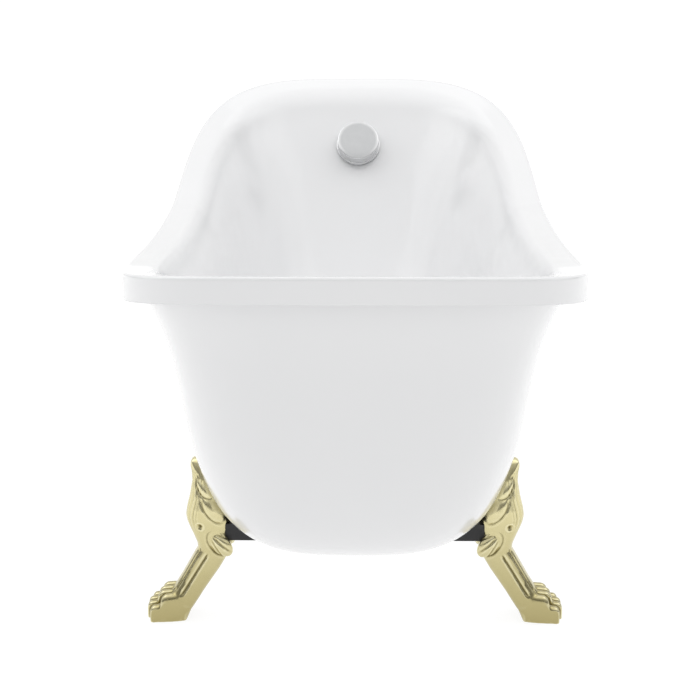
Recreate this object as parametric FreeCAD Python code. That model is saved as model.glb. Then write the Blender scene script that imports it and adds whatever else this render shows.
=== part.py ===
import FreeCAD, Part
import math
import os

# Slipper bathtub on four claw feet, standing on the floor at z = 0.
# The length runs along Y: the low foot end is at -Y, the raised backrest at +Y.

# Overall size and the rim line
LENGTH = 1450.0
WIDTH = 650.0
LOW_RIM = 526.0
FOOT_END_RIM = 612.0
BACK_RIM = 668.0
UNDERSIDE = 158.0
WAIST_SHARE = 0.05
LOW_POINT_SHARE = 0.17
FOOT_END_POWER = 2.27
BACK_POWER = 1.45

# Plan of the rim and of the floor: exponents of the oval at each end
RIM_NEAR_POWER = 5.5
RIM_FAR_POWER = 3.8
FLOOR_NEAR_POWER = 3.6
FLOOR_FAR_POWER = 2.4
RING_POLES = 72
FINE_STEPS = 1500

# Acrylic shells
BASIN_WALL = 6.0
SKIRT_WALL = 5.0
BOARD_THICKNESS = 20.0
BOND_GAP = 0.5
CUT_OVERRUN = 20.0

# Rim of the basin from the lip of the apron over the top: insets from the rim line, and drops below it
APRON_HEIGHT = 37.0
APRON_SHARES = (1.0, 0.8, 0.5)
RIM_EDGE = 9.0
RIM_FLAT = 42.0
RIM_FALL = 2.0
FLAT_SHARES = (1 / 3, 2 / 3, 1.0)
ROLL_WIDTH = 22.0
ROLL_DROP = 32.0
ROLL_WIDTH_SHARES = (0.5, 0.8, 1.0)
ROLL_DROP_SHARES = (0.22, 0.55, 1.0)
BACK_ROLL_SHARE = 1.35

# Wall of the basin from the roll down to the flat floor.
# The insets at the side, near end and far end are shares of half the width and half the length.
FLOOR_INSET_SHARES = (0.726, 0.414, 0.628)
WALL_HEIGHT_SHARES = (0.84, 0.72, 0.57, 0.42, 0.28, 0.14, 0.04, 0.0, 0.0)
WALL_SIDE_SHARES = (0.33, 0.394, 0.45, 0.496, 0.55, 0.65, 0.8, 0.93, 1.0)
WALL_NEAR_SHARES = (0.29, 0.37, 0.44, 0.5, 0.57, 0.67, 0.8, 0.93, 1.0)
WALL_FAR_SHARES = (0.27, 0.36, 0.453, 0.54, 0.63, 0.735, 0.853, 0.945, 1.0)

# Skirt from its top edge down to the flat underside
SKIRT_TOP_INSET = 28.0
SKIRT_NECK_DROP = 24.0
UNDERSIDE_INSET_SHARES = (0.631, 0.29, 0.393)
SKIRT_HEIGHT_SHARES = (0.88, 0.76, 0.61, 0.46, 0.34, 0.21, 0.10, 0.03, 0.0, 0.0)
SKIRT_SIDE_SHARES = (0.171, 0.263, 0.317, 0.346, 0.385, 0.449, 0.527, 0.644, 0.81, 1.0)
SKIRT_NEAR_SHARES = (0.167, 0.271, 0.343, 0.4, 0.448, 0.519, 0.605, 0.714, 0.857, 1.0)
SKIRT_FAR_SHARES = (0.147, 0.225, 0.302, 0.379, 0.456, 0.568, 0.716, 0.842, 0.947, 1.0)

# Floor board and crossbars
BOARD_SIDE_MARGIN = 22.0
BOARD_END_MARGIN = 134.0
BOARD_CORNER = 30.0
BOARD_HOLE_MARGIN = 10.0
FRONT_LEG_SHARE = 0.5655
REAR_LEG_SHARE = 0.48
BAR_WIDTH = 40.0
BAR_HEIGHT = 26.0
BAR_WALL = 3.0
BAR_SCREW_SPREAD = 44.0
SCREW_RADIUS = 2.5
SCREW_HEAD_RADIUS = 5.0
SCREW_HEAD_HEIGHT = 3.0
SCREW_NUT_FLATS = 8.0
SCREW_NUT_HEIGHT = 4.0
SCREW_END = 2.0

# Claw foot: heights above the floor, reaches outward from the foot's inner face, and widths along the tub
FOOT_FACE_SHARE = 0.597
FOOT_FIT = 0.4
FOOT_HEIGHT = 258.0
LEAF_REACH = 58.0
LEAF_WIDTH = 80.0
LEAF_HEIGHT_SHARES = (0.444, 0.534, 0.662, 0.774, 0.887, 0.962, 1.0)
LEAF_INNER_SHARES = (-0.07, -0.11, -0.2, -0.14, 0.0, 0.15, 0.3)
LEAF_OUTER_SHARES = (0.72, 0.84, 1.0, 0.91, 0.83, 0.86, 0.75)
LEAF_WIDTH_SHARES = (0.57, 0.75, 0.95, 1.0, 0.8, 0.48, 0.18)
SHIN_REACH = 66.0
SHIN_TOP = 134.0
SHIN_DEPTH = 41.0
SHIN_WIDTH = 52.0
SHIN_REACH_SHARES = (0.24, 0.41, 0.68, 1.0)
SHIN_HEIGHT_SHARES = (1.0, 0.81, 0.59, 0.3)
SHIN_DEPTH_SHARES = (0.96, 1.0, 0.91, 1.13)
SHIN_WIDTH_SHARES = (1.0, 1.0, 0.92, 1.19)
SHIN_LEAN = 30.0
SCROLL_RADIUS = 15.0
SCROLL_WIDTH = 58.0
SCROLL_REACH = 8.0
SCROLL_HEIGHT = 122.0
PAW_RADIUS = 28.0
PAW_REACH = 84.0
PAW_HEIGHT = 24.0
TOE_FAN = (-27.0, -9.0, 9.0, 27.0)
TOE_PIVOT = 56.0
TOE_REACH = 44.0
TOE_RADIUS = 11.0
TOE_HEIGHT = 32.0
CLAW_REACH = 57.0
CLAW_RADIUS = 9.0
TOE_ROOT = 17.0
OVAL_POLES = 12
PAD_THICKNESS = 4.0
PAD_REACH = 88.0
PAD_RADIUS = 20.0
BOSS_HEIGHT = 32.0
BOSS_WIDTH = 44.0
BOSS_DEPTH = 24.0

# Bolts that hold the feet to the crossbars
BOLT_RADIUS = 4.0
BOLT_LENGTH = 22.0
BOLT_HEAD_FLATS = 13.0
BOLT_HEAD_HEIGHT = 5.5
WASHER_RADIUS = 8.5
WASHER_THICKNESS = 1.6
BOLT_CLEARANCE = 0.4

# Overflow set in the backrest
OVERFLOW_DROP = 120.0
OVERFLOW_HOLE = 26.0
CAP_RADIUS = 43.0
CAP_DEPTH = 26.0
CAP_WALL = 2.5
CAP_EDGE = 7.0
CAP_STANDOFF = 3.0
INLET_WIDTH = 46.0
INLET_DEPTH = 9.0
RING_RADIUS = 36.0
RING_THICKNESS = 3.0
RING_SEAT = 2.0
SEAT_FIT = 0.2
GRID_BAR = 8.0
COLLAR_RADIUS = 9.0
COLLAR_HEIGHT = 15.0
COLLAR_FIT = 0.1
SLEEVE_WALL = 3.0
GASKET_RADIUS = 38.0
GASKET_THICKNESS = 3.0
ELBOW_RADIUS = 29.0
ELBOW_DEPTH = 28.0
ELBOW_WALL = 3.0
ELBOW_FLANGE = 4.0
OVERFLOW_SCREW_RADIUS = 3.0
OVERFLOW_SCREW_HEAD = 5.5
OVERFLOW_SCREW_HEAD_HEIGHT = 3.5

# Overflow pipe
PIPE_RADIUS = 16.0
PIPE_WALL = 3.0
PIPE_BEND = 60.0
PIPE_FIRST_RUN = 100.0
PIPE_TURN_SHARE = 0.662
PIPE_HOLE_GAP = 4.0
SPIGOT_LENGTH = 22.0
SPIGOT_WALL = 2.5
SPIGOT_FIT = 0.4
PIPE_END_GAP = 2.0

# Waste set under the floor
DRAIN_SHARE = 0.28
THROAT_RADIUS = 22.0
THROAT_WALL = 3.0
THROAT_BELOW = 22.0
THROAT_FIT = 0.2
FLANGE_RADIUS = 36.0
FLANGE_THICKNESS = 3.0
FLANGE_EDGE = 1.2
SEAL_THICKNESS = 1.5
DRAIN_HOLE_GAP = 1.5
STACK_HOLE_GAP = 6.0
HUB_RADIUS = 8.0
HUB_HEIGHT = 12.0
HUB_DEPTH = 36.0
SPOKE_WIDTH = 4.0
SPOKE_COUNT = 3
LOWER_SEAL_THICKNESS = 4.0
BODY_WALL = 4.0
BODY_FLANGE = 5.0
BODY_HEIGHT = 72.0
INLET_DROP = 53.0
OUTLET_LENGTH = 18.0
TAIL_RADIUS = 19.0
TAIL_WALL = 2.0
TAIL_LENGTH = 64.0
TAIL_FIT = 0.2
TAIL_BEAD = 2.0
TAIL_NUT_WALL = 4.0
TAIL_NUT_HEIGHT = 14.0

# Lifting plug
PLUG_RADIUS = 31.0
PLUG_THICKNESS = 5.0
PLUG_EDGE = 3.0
PLUG_GAP = 0.6
STEM_RADIUS = 4.5
STEM_FIT = 0.05
STEM_LENGTH = 46.0
PLUG_SEAL_RADIUS = 18.2
PLUG_SEAL_THICKNESS = 2.5

# Places worked out from the sizes above
HALF_LENGTH = LENGTH / 2
HALF_WIDTH = WIDTH / 2
SKIRT_FLOOR = UNDERSIDE + SKIRT_WALL
BOARD_TOP = SKIRT_FLOOR + BOARD_THICKNESS
BASIN_FLOOR = BOARD_TOP + BASIN_WALL
FOOT_FACE = HALF_WIDTH * FOOT_FACE_SHARE
BAR_BOTTOM = UNDERSIDE - BAR_HEIGHT
BOLT_AT = BAR_BOTTOM + (BAR_HEIGHT - BAR_WALL) / 2
RING_TOP = RING_THICKNESS + SEAT_FIT
FRONT_LEG = -HALF_LENGTH * FRONT_LEG_SHARE
REAR_LEG = HALF_LENGTH * REAR_LEG_SHARE
DRAIN_AT = HALF_LENGTH * DRAIN_SHARE
PIPE_TURN_AT = HALF_LENGTH * PIPE_TURN_SHARE
OVERFLOW_HEIGHT = BACK_RIM - OVERFLOW_DROP
SPIGOT_REACH = GASKET_RADIUS + SPIGOT_LENGTH
SIDES = (-1, 1)
BODY_TOP = UNDERSIDE - LOWER_SEAL_THICKNESS
BODY_BORE = THROAT_RADIUS + THROAT_FIT
BODY_RADIUS = BODY_BORE + BODY_WALL
BODY_BOTTOM = BODY_TOP - BODY_HEIGHT
NUT_BOTTOM = BODY_BOTTOM - OUTLET_LENGTH - TAIL_NUT_HEIGHT / 2
INLET_AT = UNDERSIDE - INLET_DROP
FLANGE_BASE = BASIN_FLOOR + SEAL_THICKNESS
FLANGE_TOP = FLANGE_BASE + FLANGE_THICKNESS
PLUG_BASE = FLANGE_TOP + PLUG_GAP
SPIGOT_RADIUS = PIPE_RADIUS - PIPE_WALL - SPIGOT_FIT

UP = FreeCAD.Vector(0, 0, 1)
ALONG = FreeCAD.Vector(0, 1, 0)
ACROSS = FreeCAD.Vector(1, 0, 0)


def point(x, y, z):
    return FreeCAD.Vector(x, y, z)


# Rings: closed rows of surface poles that share one plan family

def rim_height(y):
    """Height of the rim line: low near the middle, rising to both ends."""
    share = y / HALF_LENGTH
    near = max(0, (LOW_POINT_SHARE - share) / (1 + LOW_POINT_SHARE))
    back = max(0, (share - LOW_POINT_SHARE) / (1 - LOW_POINT_SHARE))
    rise = (FOOT_END_RIM - LOW_RIM) * near ** FOOT_END_POWER
    return LOW_RIM + rise + (BACK_RIM - LOW_RIM) * back ** BACK_POWER


def half_plan(half_width, near, far, near_power, far_power):
    """Fine points of one half of a waisted oval, from the near end round to the far end."""
    points = []
    for step in range(FINE_STEPS + 1):
        turn = math.pi * (step / FINE_STEPS - 0.5)
        power, reach = (near_power, near) if turn < 0 else (far_power, far)
        share = math.copysign(abs(math.sin(turn)) ** (2 / power), turn)
        waist = 1 - WAIST_SHARE * (1 - share * share)
        points.append((max(0, math.cos(turn)) ** (2 / power) * waist, share * reach))
    widest = max(x for x, _ in points)
    return [(x * half_width / widest, y) for x, y in points]


def even_steps(points, count):
    """Points at equal spacing along a polyline, both ends kept."""
    travel = [0]
    for (x0, y0), (x1, y1) in zip(points, points[1:]):
        travel.append(travel[-1] + math.hypot(x1 - x0, y1 - y0))
    result = []
    index = 1
    for step in range(count + 1):
        goal = travel[-1] * step / count
        while index < len(points) - 1 and travel[index] < goal:
            index += 1
        part = (goal - travel[index - 1]) / (travel[index] - travel[index - 1])
        (x0, y0), (x1, y1) = points[index - 1], points[index]
        result.append((x0 + (x1 - x0) * part, y0 + (y1 - y0) * part))
    return result


def ring(insets, depth_share, height):
    """Poles of one ring. depth_share blends the plan from the rim (0) to the floor (1)."""
    side, near, far = insets
    near_power = RIM_NEAR_POWER + (FLOOR_NEAR_POWER - RIM_NEAR_POWER) * depth_share
    far_power = RIM_FAR_POWER + (FLOOR_FAR_POWER - RIM_FAR_POWER) * depth_share
    fine = half_plan(HALF_WIDTH - side, HALF_LENGTH - near, HALF_LENGTH - far, near_power, far_power)
    right = even_steps(fine, RING_POLES // 2)
    left = [(-x, y) for x, y in reversed(right[1:-1])]
    return [point(x, y, height(y)) for x, y in right + left]


def rim_ring(inset, drop, back_share=1.0):
    return ring((inset, inset, inset * back_share), 0, lambda y: rim_height(y) - drop)


def inset_lengths(shares):
    """Insets at the side, near end and far end, from their shares."""
    side, near, far = shares
    return HALF_WIDTH * side, HALF_LENGTH * near, HALF_LENGTH * far


def wall_ring(row, share, base):
    return ring(row, 1 - share, lambda y: base + share * (rim_height(y) - base))


def wall_rings(height_shares, insets, inset_shares, base):
    """Rings of a wall that rises from a flat base to the rim line."""
    rings = []
    for height_share, *steps in zip(height_shares, *inset_shares):
        row = [inset * step for inset, step in zip(insets, steps)]
        rings.append(wall_ring(row, height_share, base))
    return rings


def offset_rings(rings, distance):
    """Copy of a pole net moved along its own normals; positive is to the right of the row order."""
    moved = []
    count = len(rings)
    for row, poles in enumerate(rings):
        before = rings[max(row - 1, 0)]
        after = rings[min(row + 1, count - 1)]
        line = []
        for k, pole in enumerate(poles):
            along = poles[(k + 1) % RING_POLES] - poles[k - 1]
            normal = along.cross(after[k] - before[k])
            line.append(pole + normal.normalize() * distance)
        moved.append(line)
    return moved


def ring_surface(rings, degree=3):
    """Face through closed rows of poles, smooth round the ring and clamped at both end rows."""
    poles = [[row[k] for row in rings] for k in range(RING_POLES)]
    around = list(range(RING_POLES + 1))
    spans = len(rings) - degree
    ends = [degree + 1] + [1] * (spans - 1) + [degree + 1]
    surface = Part.BSplineSurface()
    surface.buildFromPolesMultsKnots(poles, [1] * len(around), ends, around, list(range(spans + 1)),
                                     True, False, 3, degree)
    return surface


def ring_disc(poles):
    curve = Part.BSplineCurve()
    around = list(range(RING_POLES + 1))
    curve.buildFromPolesMultsKnots(poles, [1] * len(around), around, True, 3)
    return Part.Face(Part.Wire(curve.toShape()))


def shell_solid(outer, inner):
    """Closed shell between two pole nets: both skins, the ruled lip and two flat floors."""
    faces = [ring_surface(outer).toShape(), ring_surface(inner).toShape()]
    faces.append(ring_surface([outer[0], inner[0]], 1).toShape())
    faces += [ring_disc(outer[-1]), ring_disc(inner[-1])]
    shell = Part.makeShell(faces)
    shell.sewShape()
    solid = Part.makeSolid(shell)
    if solid.Volume < 0:
        solid.reverse()
    return solid


# The two acrylic shells

def basin_rings():
    """Upper skin of the basin, from the lip of the apron over the rim and down to the floor."""
    rings = [rim_ring(0, APRON_HEIGHT * share) for share in APRON_SHARES]
    rings += [rim_ring(0, RIM_EDGE), rim_ring(0, 0), rim_ring(RIM_EDGE, 0)]
    rings += [rim_ring(RIM_EDGE + (RIM_FLAT - RIM_EDGE) * share, RIM_FALL * share) for share in FLAT_SHARES]
    for width_share, drop_share in zip(ROLL_WIDTH_SHARES, ROLL_DROP_SHARES):
        rings.append(rim_ring(RIM_FLAT + ROLL_WIDTH * width_share, RIM_FALL + ROLL_DROP * drop_share,
                              1 + (BACK_ROLL_SHARE - 1) * width_share))
    insets = inset_lengths(FLOOR_INSET_SHARES)
    shares = (WALL_SIDE_SHARES, WALL_NEAR_SHARES, WALL_FAR_SHARES)
    return rings + wall_rings(WALL_HEIGHT_SHARES, insets, shares, BASIN_FLOOR)


def skirt_rings():
    """Outer skin of the skirt, from its top edge under the rim down to the underside."""
    seat_drop = RIM_FALL + BASIN_WALL + BOND_GAP
    rings = [rim_ring(SKIRT_TOP_INSET, seat_drop), rim_ring(SKIRT_TOP_INSET, seat_drop + SKIRT_NECK_DROP)]
    insets = inset_lengths(UNDERSIDE_INSET_SHARES)
    shares = (SKIRT_SIDE_SHARES, SKIRT_NEAR_SHARES, SKIRT_FAR_SHARES)
    return rings + wall_rings(SKIRT_HEIGHT_SHARES, insets, shares, UNDERSIDE)


def skirt_shell(grown=0):
    """Skirt with its outer skin moved out by the given fit; the top edge stays under the rim."""
    outer = offset_rings(skirt_rings(), -grown) if grown else skirt_rings()
    inner = offset_rings(skirt_rings(), SKIRT_WALL)
    inner[0] = rim_ring(SKIRT_TOP_INSET + SKIRT_WALL, RIM_FALL + BASIN_WALL + BOND_GAP)
    return shell_solid(outer, inner)


def disc(radius, height, base):
    return Part.makeCylinder(radius, height, base, UP)


def tube(outer, inner, height, base):
    bore = disc(inner, height + 2 * CUT_OVERRUN, base - UP * CUT_OVERRUN)
    return disc(outer, height, base).cut(bore)


def block(x_size, y_size, z_size, x, y, z):
    """Box centred on x and y, standing on z."""
    return Part.makeBox(x_size, y_size, z_size, point(x - x_size / 2, y - y_size / 2, z))


def fused(shapes):
    first, *rest = shapes
    return first.multiFuse(rest).removeSplitter()


# Overflow: its own axis stands on the backrest, local +Z into the tub and +Y up the wall

def back_wall_frame(surface):
    """Place on the middle of the backrest at the overflow's height, turned to the wall's normal."""
    u_low, u_high, v_low, v_high = surface.bounds()
    spots = [u_low + (u_high - u_low) * k / (4 * RING_POLES) for k in range(4 * RING_POLES)]
    middle = max(spots, key=lambda u: surface.value(u, v_low).y)
    floor_side = v_high
    rim_side = (v_low + v_high) / 2
    for _ in range(40):
        half = (floor_side + rim_side) / 2
        if surface.value(middle, half).z > OVERFLOW_HEIGHT:
            rim_side = half
        else:
            floor_side = half
    spot = surface.value(middle, half)
    normal = surface.normal(middle, half)
    facing = point(0, -abs(normal.y), abs(normal.z))
    return FreeCAD.Placement(point(0, spot.y, spot.z), FreeCAD.Rotation(UP, facing))


def placed(shape, frame):
    shape.Placement = frame.multiply(shape.Placement)
    return shape


def overflow_cap(frame):
    """Round hollow cover with a sleeve for the collar, open below for the water."""
    base = UP * CAP_STANDOFF
    cap = disc(CAP_RADIUS, CAP_DEPTH, base)
    front = [edge for edge in cap.Edges if edge.Closed and edge.CenterOfMass.z > CAP_DEPTH]
    cap = cap.makeFillet(CAP_EDGE, front)
    hollow = CAP_DEPTH - 2 * CAP_WALL
    cap = cap.cut(disc(CAP_RADIUS - CAP_EDGE + CAP_WALL, hollow, base))
    sleeve = tube(COLLAR_RADIUS + COLLAR_FIT + SLEEVE_WALL, COLLAR_RADIUS + COLLAR_FIT,
                  CAP_STANDOFF + hollow - COLLAR_HEIGHT / 2, UP * (COLLAR_HEIGHT / 2))
    inlet = block(INLET_WIDTH, CAP_RADIUS, INLET_DEPTH, 0, -CAP_RADIUS, CAP_STANDOFF)
    return placed(cap.cut(inlet).fuse(sleeve), frame)


def overflow_ring(frame, basin):
    """Ring seated on the wall with a bar across it; the bar's collar carries the cap."""
    annulus = tube(RING_RADIUS, OVERFLOW_HOLE, RING_SEAT + RING_THICKNESS, UP * -RING_SEAT)
    seat = placed(annulus, frame).cut(basin)
    seat = seat.translated(frame.Rotation.multVec(UP * SEAT_FIT))
    bar = block(2 * OVERFLOW_HOLE + RING_THICKNESS, GRID_BAR, RING_THICKNESS, 0, 0, SEAT_FIT)
    middle = bar.fuse(disc(COLLAR_RADIUS, COLLAR_HEIGHT, UP * SEAT_FIT))
    middle = middle.cut(disc(OVERFLOW_SCREW_RADIUS, RING_TOP, UP * 0))
    middle = middle.cut(disc(OVERFLOW_SCREW_HEAD + BOLT_CLEARANCE, COLLAR_HEIGHT, UP * RING_TOP))
    return seat.fuse(placed(middle, frame))


def overflow_gasket(frame, basin):
    base = UP * -(BASIN_WALL + GASKET_THICKNESS - SEAT_FIT)
    annulus = tube(GASKET_RADIUS, OVERFLOW_HOLE, GASKET_THICKNESS + RING_SEAT, base)
    gasket = placed(annulus, frame).cut(basin)
    return gasket.translated(frame.Rotation.multVec(UP * -SEAT_FIT))


def overflow_elbow(frame):
    """Cup behind the wall: flange, bar for the screw, and a spigot that leads down the wall."""
    mouth = -(BASIN_WALL + GASKET_THICKNESS)
    middle = mouth - ELBOW_FLANGE - ELBOW_DEPTH / 2
    cup_base = mouth - ELBOW_FLANGE - ELBOW_DEPTH
    outer = disc(ELBOW_RADIUS, ELBOW_FLANGE + ELBOW_DEPTH, UP * cup_base)
    outer = outer.fuse(disc(GASKET_RADIUS, ELBOW_FLANGE, UP * (mouth - ELBOW_FLANGE)))
    outer = outer.fuse(Part.makeCylinder(SPIGOT_RADIUS, SPIGOT_REACH, UP * middle, ALONG * -1))
    hollow = disc(ELBOW_RADIUS - ELBOW_WALL, ELBOW_FLANGE + ELBOW_DEPTH, UP * (cup_base + ELBOW_WALL))
    bore_length = SPIGOT_REACH + CUT_OVERRUN
    bore = Part.makeCylinder(SPIGOT_RADIUS - SPIGOT_WALL, bore_length, UP * middle, ALONG * -1)
    bar = block(2 * ELBOW_RADIUS - ELBOW_WALL, GRID_BAR, ELBOW_FLANGE, 0, 0, mouth - ELBOW_FLANGE)
    shape = outer.cut(hollow.fuse(bore)).fuse(bar)
    return placed(shape.cut(disc(OVERFLOW_SCREW_RADIUS, ELBOW_FLANGE, UP * (mouth - ELBOW_FLANGE))), frame)


def overflow_screw(frame):
    """Pan screw from the collar through the wall into the elbow's bar."""
    length = RING_TOP + BASIN_WALL + GASKET_THICKNESS + ELBOW_FLANGE
    shank = disc(OVERFLOW_SCREW_RADIUS, length, UP * (RING_TOP - length))
    return placed(shank.fuse(disc(OVERFLOW_SCREW_HEAD, OVERFLOW_SCREW_HEAD_HEIGHT, UP * RING_TOP)), frame)


# Overflow pipe: straight runs joined by tangent bends, from the elbow to the waste body

def bent_wire(corners, bend):
    edges = []
    start = corners[0]
    for before, corner, after in zip(corners, corners[1:], corners[2:]):
        come = (corner - before).normalize()
        go = (after - corner).normalize()
        half = come.getAngle(go) / 2
        first = corner - come * (bend * math.tan(half))
        last = corner + go * (bend * math.tan(half))
        centre = corner + (go - come).normalize() * (bend / math.cos(half))
        crown = centre + (corner - centre).normalize() * bend
        edges += [Part.LineSegment(start, first).toShape(), Part.Arc(first, crown, last).toShape()]
        start = last
    edges.append(Part.LineSegment(start, corners[-1]).toShape())
    return Part.Wire(edges)


def pipe_corners(frame):
    middle = BASIN_WALL + GASKET_THICKNESS + ELBOW_FLANGE + ELBOW_DEPTH / 2
    begin = frame.multVec(point(0, -GASKET_RADIUS - PIPE_END_GAP, -middle))
    first = frame.multVec(point(0, -PIPE_FIRST_RUN, -middle))
    turn = point(0, PIPE_TURN_AT, INLET_AT)
    return [begin, first, turn, point(0, DRAIN_AT + BODY_RADIUS + PIPE_END_GAP, INLET_AT)]


def bent_rod(corners, radius):
    wire = bent_wire(corners, PIPE_BEND)
    circle = Part.Wire(Part.makeCircle(radius, corners[0], corners[1] - corners[0]))
    return wire.makePipeShell([circle], True, True)


def overflow_pipe(frame):
    corners = pipe_corners(frame)
    return bent_rod(corners, PIPE_RADIUS).cut(bent_rod(corners, PIPE_RADIUS - PIPE_WALL))


# Waste set on the drain's upright axis

def drain_point(z):
    return point(0, DRAIN_AT, z)


def drain_flange():
    """Seat ring in the floor, its threaded throat, and the spoked hub that guides the plug."""
    rim = disc(FLANGE_RADIUS, FLANGE_THICKNESS, drain_point(FLANGE_BASE))
    top = [edge for edge in rim.Edges if edge.Closed and edge.CenterOfMass.z > FLANGE_BASE + FLANGE_EDGE]
    rim = rim.makeFillet(FLANGE_EDGE, top)
    bottom = UNDERSIDE - THROAT_BELOW
    throat = disc(THROAT_RADIUS, FLANGE_TOP - FLANGE_EDGE - bottom, drain_point(bottom))
    bore = THROAT_RADIUS - THROAT_WALL
    shape = rim.fuse(throat).cut(disc(bore, FLANGE_TOP - bottom + CUT_OVERRUN, drain_point(bottom)))
    hub_base = drain_point(FLANGE_TOP - HUB_DEPTH - HUB_HEIGHT / 2)
    hub = [disc(HUB_RADIUS, HUB_HEIGHT, hub_base)]
    for k in range(SPOKE_COUNT):
        spoke = block(bore + THROAT_WALL / 2, SPOKE_WIDTH, HUB_HEIGHT, (bore + THROAT_WALL / 2) / 2, 0, 0)
        spoke.rotate(point(0, 0, 0), UP, 360 * k / SPOKE_COUNT)
        spoke.translate(hub_base)
        hub.append(spoke)
    return fused([shape] + hub).cut(disc(STEM_RADIUS + STEM_FIT, HUB_HEIGHT, hub_base))


def drain_washer():
    return tube(FLANGE_RADIUS - FLANGE_EDGE, BODY_BORE, SEAL_THICKNESS, drain_point(BASIN_FLOOR))


def drain_gasket():
    return tube(FLANGE_RADIUS, BODY_BORE, LOWER_SEAL_THICKNESS, drain_point(BODY_TOP))


def drain_body():
    """Cup that the throat screws into, with a side inlet for the pipe and an outlet for the tail."""
    outer = disc(BODY_RADIUS, BODY_HEIGHT, drain_point(BODY_BOTTOM))
    outer = outer.fuse(disc(FLANGE_RADIUS, BODY_FLANGE, drain_point(BODY_TOP - BODY_FLANGE)))
    outlet = TAIL_RADIUS + TAIL_FIT
    outer = outer.fuse(disc(outlet + BODY_WALL, OUTLET_LENGTH, drain_point(BODY_BOTTOM - OUTLET_LENGTH)))
    reach = BODY_RADIUS + SPIGOT_LENGTH
    outer = outer.fuse(Part.makeCylinder(SPIGOT_RADIUS, reach, drain_point(INLET_AT), ALONG))
    shape = outer.cut(disc(BODY_BORE, BODY_HEIGHT, drain_point(BODY_BOTTOM + BODY_WALL)))
    bore_length = reach + CUT_OVERRUN
    shape = shape.cut(Part.makeCylinder(SPIGOT_RADIUS - SPIGOT_WALL, bore_length, drain_point(INLET_AT), ALONG))
    shape = shape.cut(disc(outlet, OUTLET_LENGTH, drain_point(BODY_BOTTOM - OUTLET_LENGTH)))
    return shape.cut(disc(TAIL_RADIUS - TAIL_WALL, BODY_WALL, drain_point(BODY_BOTTOM)))


def drain_tail():
    """Tail pipe with a stop bead below the nut; its free end takes the trap."""
    tail = tube(TAIL_RADIUS, TAIL_RADIUS - TAIL_WALL, TAIL_LENGTH, drain_point(BODY_BOTTOM - TAIL_LENGTH))
    bead_base = drain_point(NUT_BOTTOM - 2 * TAIL_BEAD)
    bead = tube(TAIL_RADIUS + TAIL_BEAD, TAIL_RADIUS - TAIL_WALL, TAIL_BEAD, bead_base)
    return tail.fuse(bead)


def tail_nut():
    """Slip nut over the end of the outlet, stepped in round the tail."""
    outlet = TAIL_RADIUS + TAIL_FIT + BODY_WALL + TAIL_FIT
    nut = hexagon(outlet + TAIL_NUT_WALL, TAIL_NUT_HEIGHT, drain_point(NUT_BOTTOM))
    nut = nut.cut(disc(TAIL_RADIUS + TAIL_FIT, TAIL_NUT_HEIGHT, drain_point(NUT_BOTTOM)))
    return nut.cut(disc(outlet, TAIL_NUT_HEIGHT, drain_point(BODY_BOTTOM - OUTLET_LENGTH)))


def hexagon(inradius, height, base):
    """Six-sided prism standing on its base."""
    corners = []
    for k in range(7):
        turn = math.radians(60 * k)
        reach = inradius / math.cos(math.pi / 6)
        corners.append(base + point(reach * math.cos(turn), reach * math.sin(turn), 0))
    return Part.Face(Part.makePolygon(corners)).extrude(UP * height)


def drain_plug():
    """Rounded lid on a stem that slides in the hub."""
    lid = disc(PLUG_RADIUS, PLUG_THICKNESS, drain_point(PLUG_BASE))
    top = [edge for edge in lid.Edges if edge.Closed and edge.CenterOfMass.z > PLUG_BASE + PLUG_EDGE]
    lid = lid.makeFillet(PLUG_EDGE, top)
    return lid.fuse(disc(STEM_RADIUS, STEM_LENGTH, drain_point(PLUG_BASE - STEM_LENGTH)))


def plug_seal():
    base = drain_point(PLUG_BASE - PLUG_SEAL_THICKNESS)
    return tube(PLUG_SEAL_RADIUS, STEM_RADIUS, PLUG_SEAL_THICKNESS, base)


# Base board and crossbars

def base_board():
    side_inset, near_inset, _ = inset_lengths(UNDERSIDE_INSET_SHARES)
    half = HALF_WIDTH - side_inset - BOARD_SIDE_MARGIN
    near = HALF_LENGTH - near_inset - BOARD_END_MARGIN
    far = DRAIN_AT + THROAT_RADIUS + STACK_HOLE_GAP + BOARD_HOLE_MARGIN
    board = Part.makeBox(2 * half, near + far, BOARD_THICKNESS, point(-half, -near, SKIRT_FLOOR))
    upright = [edge for edge in board.Edges if abs(edge.tangentAt(0).z) > 0.5]
    board = board.makeFillet(BOARD_CORNER, upright)
    return board.cut(stack_hole())


def stack_hole():
    height = BOARD_TOP - UNDERSIDE + CUT_OVERRUN
    return disc(THROAT_RADIUS + STACK_HOLE_GAP, height, drain_point(UNDERSIDE - CUT_OVERRUN))


def bar_screw_places(leg_y):
    return [point(side * BAR_SCREW_SPREAD / 2, leg_y, UNDERSIDE - BAR_WALL) for side in SIDES]


def crossbar(leg_y):
    """Steel channel, open below, with end plates that the feet bolt to."""
    outer = block(2 * FOOT_FACE, BAR_WIDTH, BAR_HEIGHT, 0, leg_y, BAR_BOTTOM)
    clear_length = 2 * (FOOT_FACE - BAR_WALL)
    clear_width = BAR_WIDTH - 2 * BAR_WALL
    inside = block(clear_length, clear_width, BAR_HEIGHT - BAR_WALL, 0, leg_y, BAR_BOTTOM)
    bar = outer.cut(inside)
    hole_start = point(-FOOT_FACE, leg_y, BOLT_AT)
    hole = Part.makeCylinder(BOLT_RADIUS + BOLT_CLEARANCE, 2 * FOOT_FACE, hole_start, ACROSS)
    bar = bar.cut(hole)
    for place in bar_screw_places(leg_y):
        bar = bar.cut(disc(SCREW_RADIUS, BAR_WALL, place))
    return bar


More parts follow.
